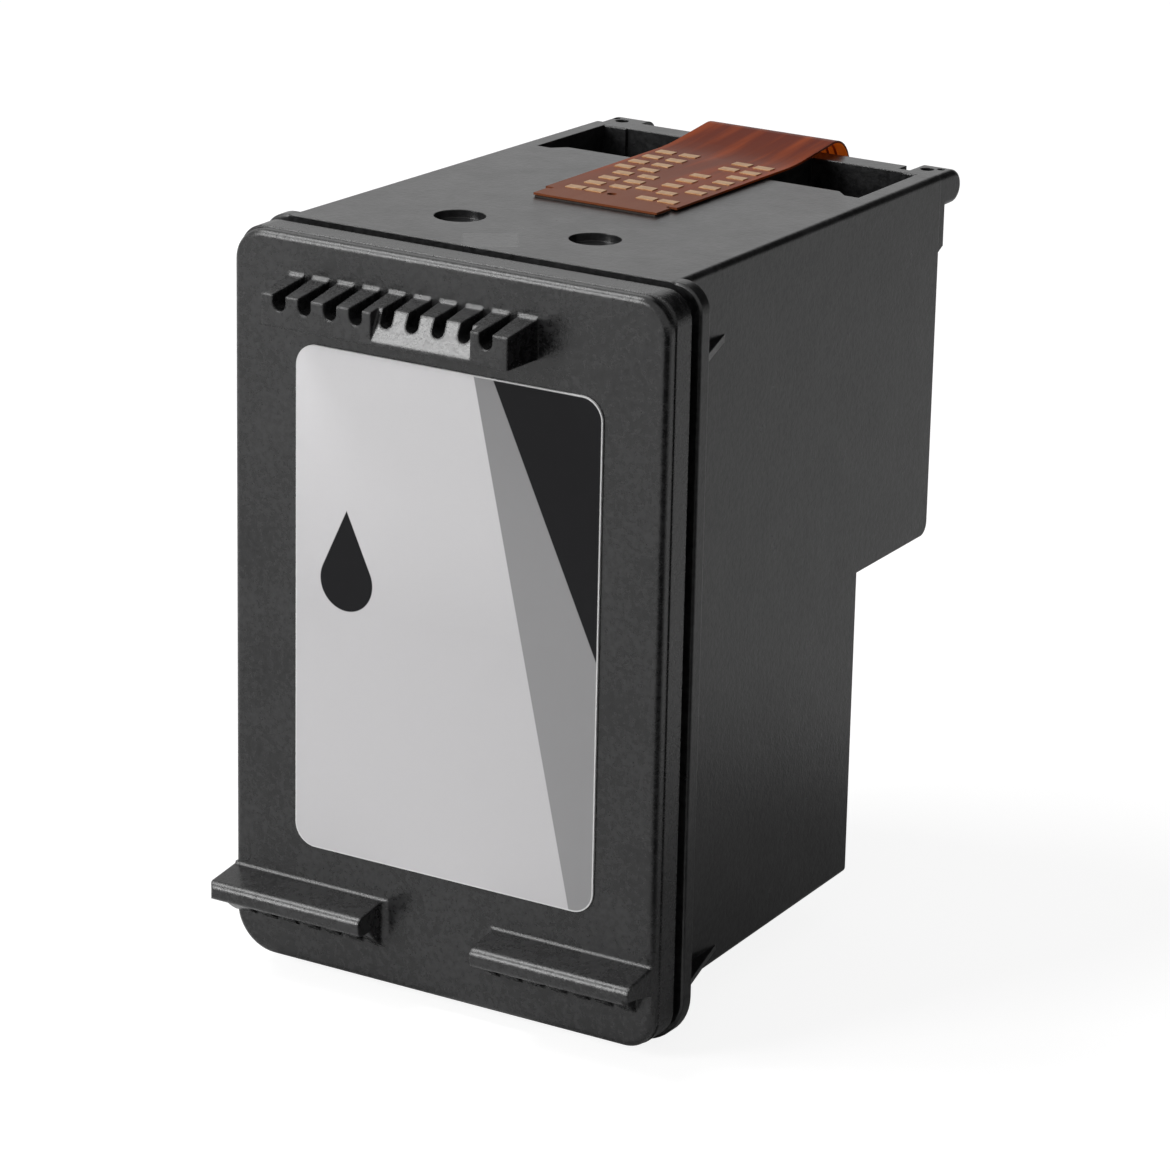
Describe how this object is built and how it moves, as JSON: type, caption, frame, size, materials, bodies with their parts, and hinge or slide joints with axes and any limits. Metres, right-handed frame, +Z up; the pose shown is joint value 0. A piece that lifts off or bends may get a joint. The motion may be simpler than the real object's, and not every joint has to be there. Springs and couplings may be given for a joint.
{
  "type": "inkjet ink cartridge",
  "caption": "Upright black ink cartridge: labelled lid with toothed grip bar and ribbed ledges, drafted stepped housing, contact film looped over the rear edge to a nozzle face.",
  "frame": {"origin": "on the ground plane below the middle of the whole cartridge, level with the foot of the front rim", "axes": "+X to the right when the labelled lid is looked at, +Y from the lid to the nozzle face, +Z up to the contact side"},
  "size_m": [0.0342, 0.0488, 0.0534],
  "materials": {
    "housing_plastic": "satin, finely textured",
    "lid_plastic": "satin, finely textured",
    "label_paper": "coated, printed in grey and black",
    "film_amber": "glossy amber film",
    "contact_gold": "gilded",
    "trace_copper": "bright",
    "film_adhesive": "matt",
    "nozzle_metal": "satin",
    "silicon": "polished",
    "die_adhesive": "matt",
    "lead_copper": "gilded",
    "encapsulant": "glossy resin",
    "foam_black": "open-cell foam soaked with ink",
    "mesh_steel": "woven mesh",
    "plug_rubber": "matt"
  },
  "bodies": {
    "root": {"body_housing": "housing_plastic", "lid": "lid_plastic", "front_label": "label_paper", "flex_film": "film_amber", "contact_pads": "contact_gold", "conductor_traces": "trace_copper", "film_adhesive": "film_adhesive", "nozzle_plate": "nozzle_metal", "printhead_die": "silicon", "die_adhesive": "die_adhesive", "bond_leads": "lead_copper", "encapsulant_beads": "encapsulant", "ink_foam": "foam_black", "filter_screen": "mesh_steel", "fill_plug": "plug_rubber"}
  },
  "joints": []
}
